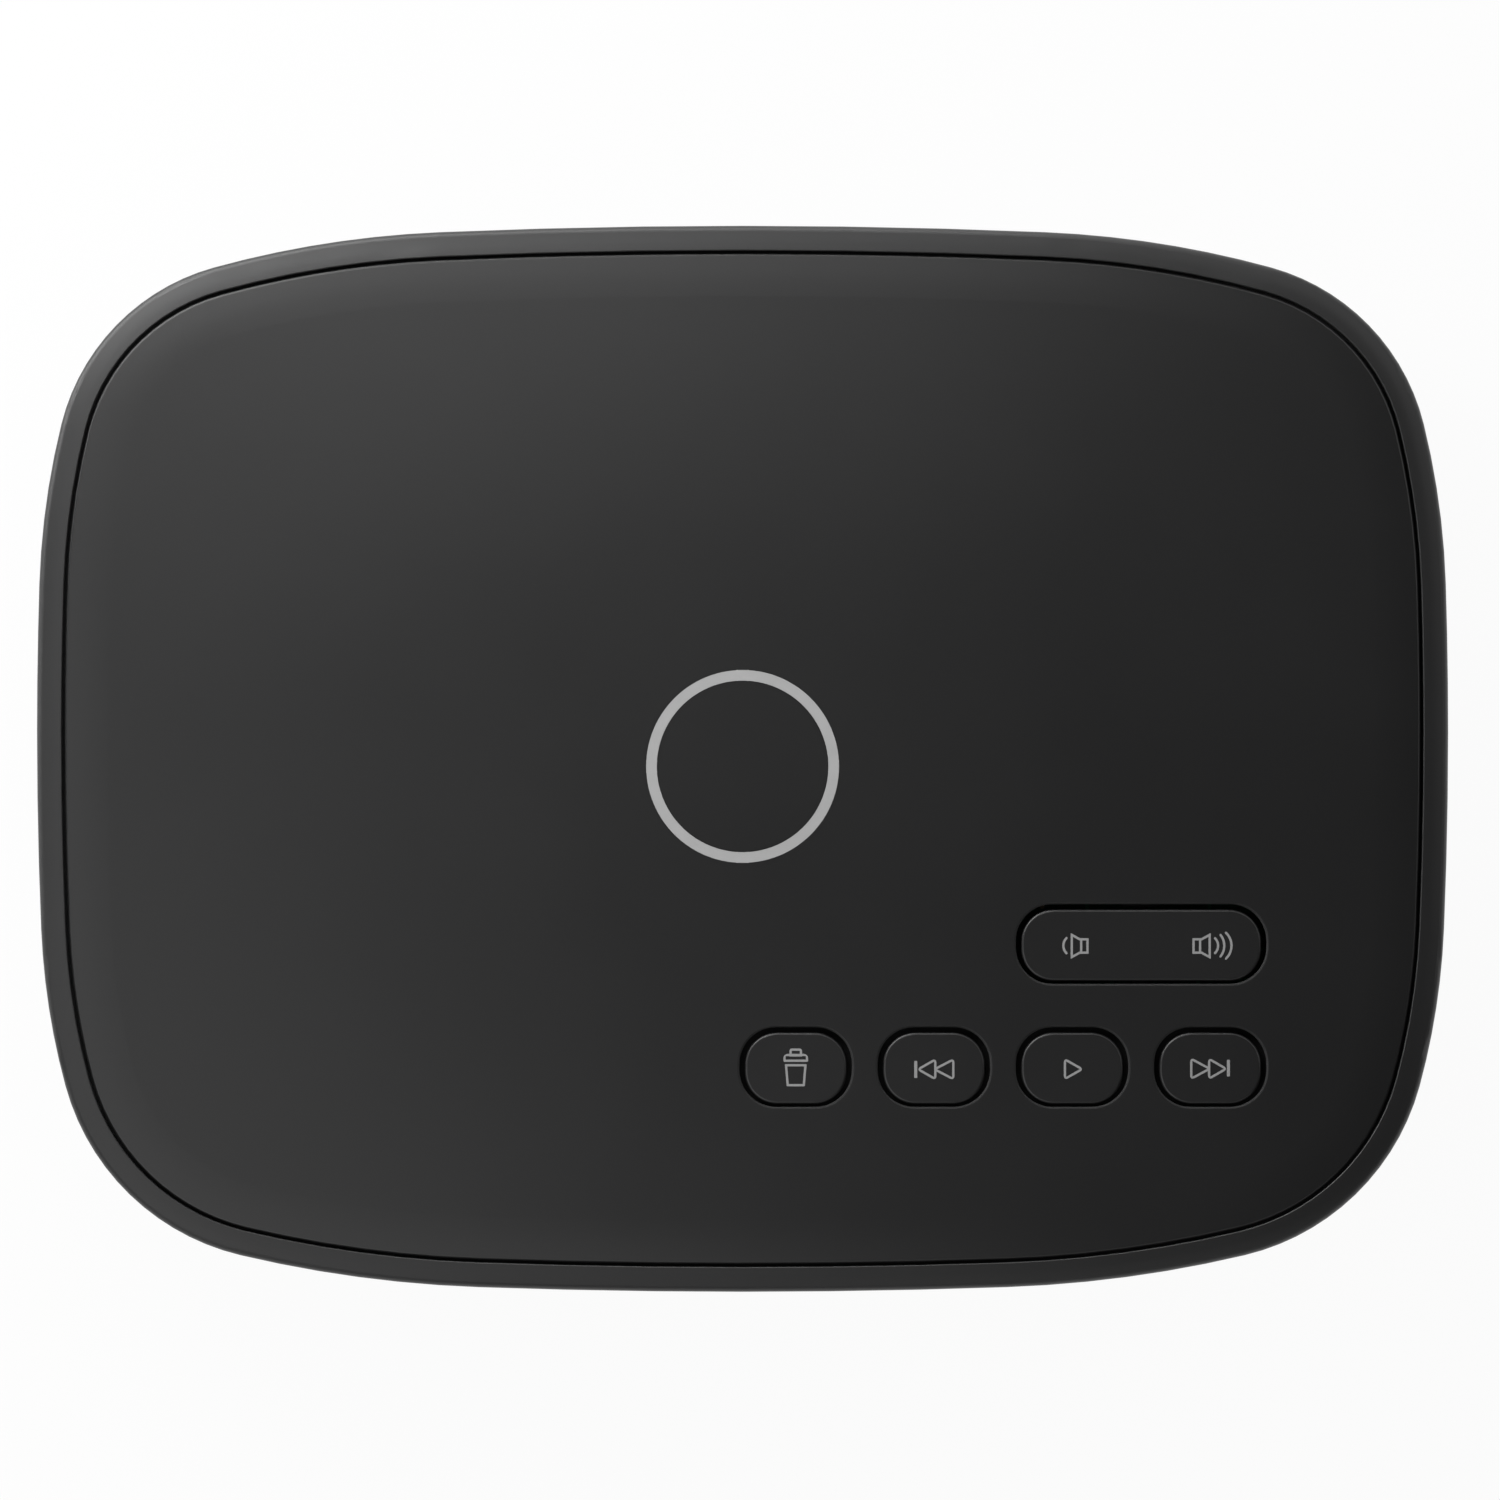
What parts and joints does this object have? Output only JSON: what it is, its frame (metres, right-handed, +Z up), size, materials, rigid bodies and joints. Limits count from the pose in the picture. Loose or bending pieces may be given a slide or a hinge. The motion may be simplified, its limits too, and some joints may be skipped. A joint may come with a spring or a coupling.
{
  "type": "voip phone base",
  "caption": "Matt black rounded-rectangular internet telephone base with answering-machine keys, a volume rocker, a ring-shaped status light and a recessed bay of rear sockets.",
  "frame": {"origin": "middle of the body's footprint, on the plane that the rubber feet stand on", "axes": "+X to the right and +Y to the back as the keys are read, +Z up out of the cover"},
  "size_m": [0.186, 0.1404, 0.038],
  "materials": {
    "cover_plastic": "fine matt black moulded plastic",
    "housing_plastic": "fine matt black moulded plastic",
    "key_plastic": "fine matt black moulded plastic, grey printed signs",
    "panel_plastic": "matt black moulded plastic",
    "rubber": "matt black rubber",
    "steel": "zinc plated steel",
    "black_steel": "black oxide steel",
    "lens": "milky translucent light guide",
    "lamp": "white light-emitting diode",
    "link_lamp": "diffused green and amber lamps",
    "circuit_board": "green solder mask over glass laminate",
    "chip_plastic": "black moulded epoxy",
    "socket_plastic": "black moulded nylon",
    "phone_socket_plastic": "black moulded nylon",
    "switch_plastic": "black moulded plastic",
    "plunger_plastic": "grey moulded plastic",
    "connector_plastic": "natural nylon",
    "ribbon": "white flat cable",
    "gold_contact": "gold plated spring wire",
    "plated_steel": "nickel plated sheet",
    "aluminium": "black or natural extruded aluminium",
    "capacitor_sleeve": "dark printed sleeve with no print",
    "relay_plastic": "white moulded plastic",
    "foam": "black foam",
    "speaker_paper": "black pressed paper",
    "magnet": "ferrite and plated steel",
    "wire": "insulated lead"
  },
  "bodies": {
    "base": {"top_cover": "cover_plastic", "upper_housing": "housing_plastic", "lower_housing": "housing_plastic", "port_panel": "panel_plastic", "rubber_feet": "rubber", "case_screws": "black_steel", "light_ring": "lens", "status_lamps": "lamp", "switch_bodies": "switch_plastic", "key_board": "circuit_board", "key_board_screws": "steel", "ribbon_connectors": "connector_plastic", "ribbon_cable": "ribbon", "main_board": "circuit_board", "main_board_screws": "steel", "processor": "chip_plastic", "heat_sink": "aluminium", "memory_chips": "chip_plastic", "line_chip": "chip_plastic", "radio_shield": "plated_steel", "antennas": "plated_steel", "network_transformers": "chip_plastic", "relay": "relay_plastic", "capacitors": "capacitor_sleeve", "power_coils": "magnet", "crystal": "plated_steel", "internet_jack": "socket_plastic", "network_jack": "socket_plastic", "phone_jack": "phone_socket_plastic", "socket_contacts": "gold_contact", "link_lamps": "link_lamp", "usb_socket": "plated_steel", "usb_tongue": "chip_plastic", "power_jack": "socket_plastic", "power_pin": "plated_steel", "reset_switch": "switch_plastic", "speaker_gasket": "foam", "speaker_basket": "black_steel", "speaker_magnet": "magnet", "speaker_surround": "rubber", "speaker_screws": "steel", "speaker_lead": "wire", "speaker_plug": "connector_plastic"},
    "delete_button": {"delete_key": "key_plastic", "delete_plunger": "plunger_plastic"},
    "previous_button": {"previous_key": "key_plastic", "previous_plunger": "plunger_plastic"},
    "play_button": {"play_key": "key_plastic", "play_plunger": "plunger_plastic"},
    "next_button": {"next_key": "key_plastic", "next_plunger": "plunger_plastic"},
    "volume_rocker": {"volume_rocker": "key_plastic"},
    "volume_down_switch": {"volume_down_plunger": "plunger_plastic"},
    "volume_up_switch": {"volume_up_plunger": "plunger_plastic"},
    "reset_button": {"reset_plunger": "plunger_plastic"},
    "speaker_cone": {"speaker_cone": "speaker_paper"}
  },
  "joints": [
    {"name": "delete_press", "type": "slide", "parent": "base", "child": "delete_button", "axis": [0, 0, -1], "range_m": [0, 0.0006], "stiffness_N_per_m": 1500, "springref_m": -0.0002},
    {"name": "previous_press", "type": "slide", "parent": "base", "child": "previous_button", "axis": [0, 0, -1], "range_m": [0, 0.0006], "stiffness_N_per_m": 1500, "springref_m": -0.0002},
    {"name": "play_press", "type": "slide", "parent": "base", "child": "play_button", "axis": [0, 0, -1], "range_m": [0, 0.0006], "stiffness_N_per_m": 1500, "springref_m": -0.0002},
    {"name": "next_press", "type": "slide", "parent": "base", "child": "next_button", "axis": [0, 0, -1], "range_m": [0, 0.0006], "stiffness_N_per_m": 1500, "springref_m": -0.0002},
    {"name": "volume_tilt", "type": "hinge", "parent": "base", "child": "volume_rocker", "pos_m": [0.0525, -0.02455, 0.03355], "axis": [0, 1, 0], "range_deg": [-2.2, 2.2], "stiffness_Nm_per_rad": 0.45},
    {"name": "volume_down_travel", "type": "slide", "parent": "base", "child": "volume_down_switch", "axis": [0, 0, -1], "range_m": [-0.00045, 0.00045]},
    {"name": "volume_up_travel", "type": "slide", "parent": "base", "child": "volume_up_switch", "axis": [0, 0, -1], "range_m": [-0.00045, 0.00045]},
    {"name": "reset_press", "type": "slide", "parent": "base", "child": "reset_button", "axis": [0, -1, 0], "range_m": [0, 0.0004], "stiffness_N_per_m": 1500, "springref_m": -0.0002},
    {"name": "cone_travel", "type": "slide", "parent": "base", "child": "speaker_cone", "axis": [0, 0, 1], "range_m": [-0.0004, 0.0004], "stiffness_N_per_m": 2000, "deforming": ["speaker_surround"]}
  ],
  "couplings": [
    {"joint": "volume_down_travel", "follows": "volume_tilt", "m_per_rad": -0.011},
    {"joint": "volume_up_travel", "follows": "volume_tilt", "m_per_rad": 0.011}
  ]
}
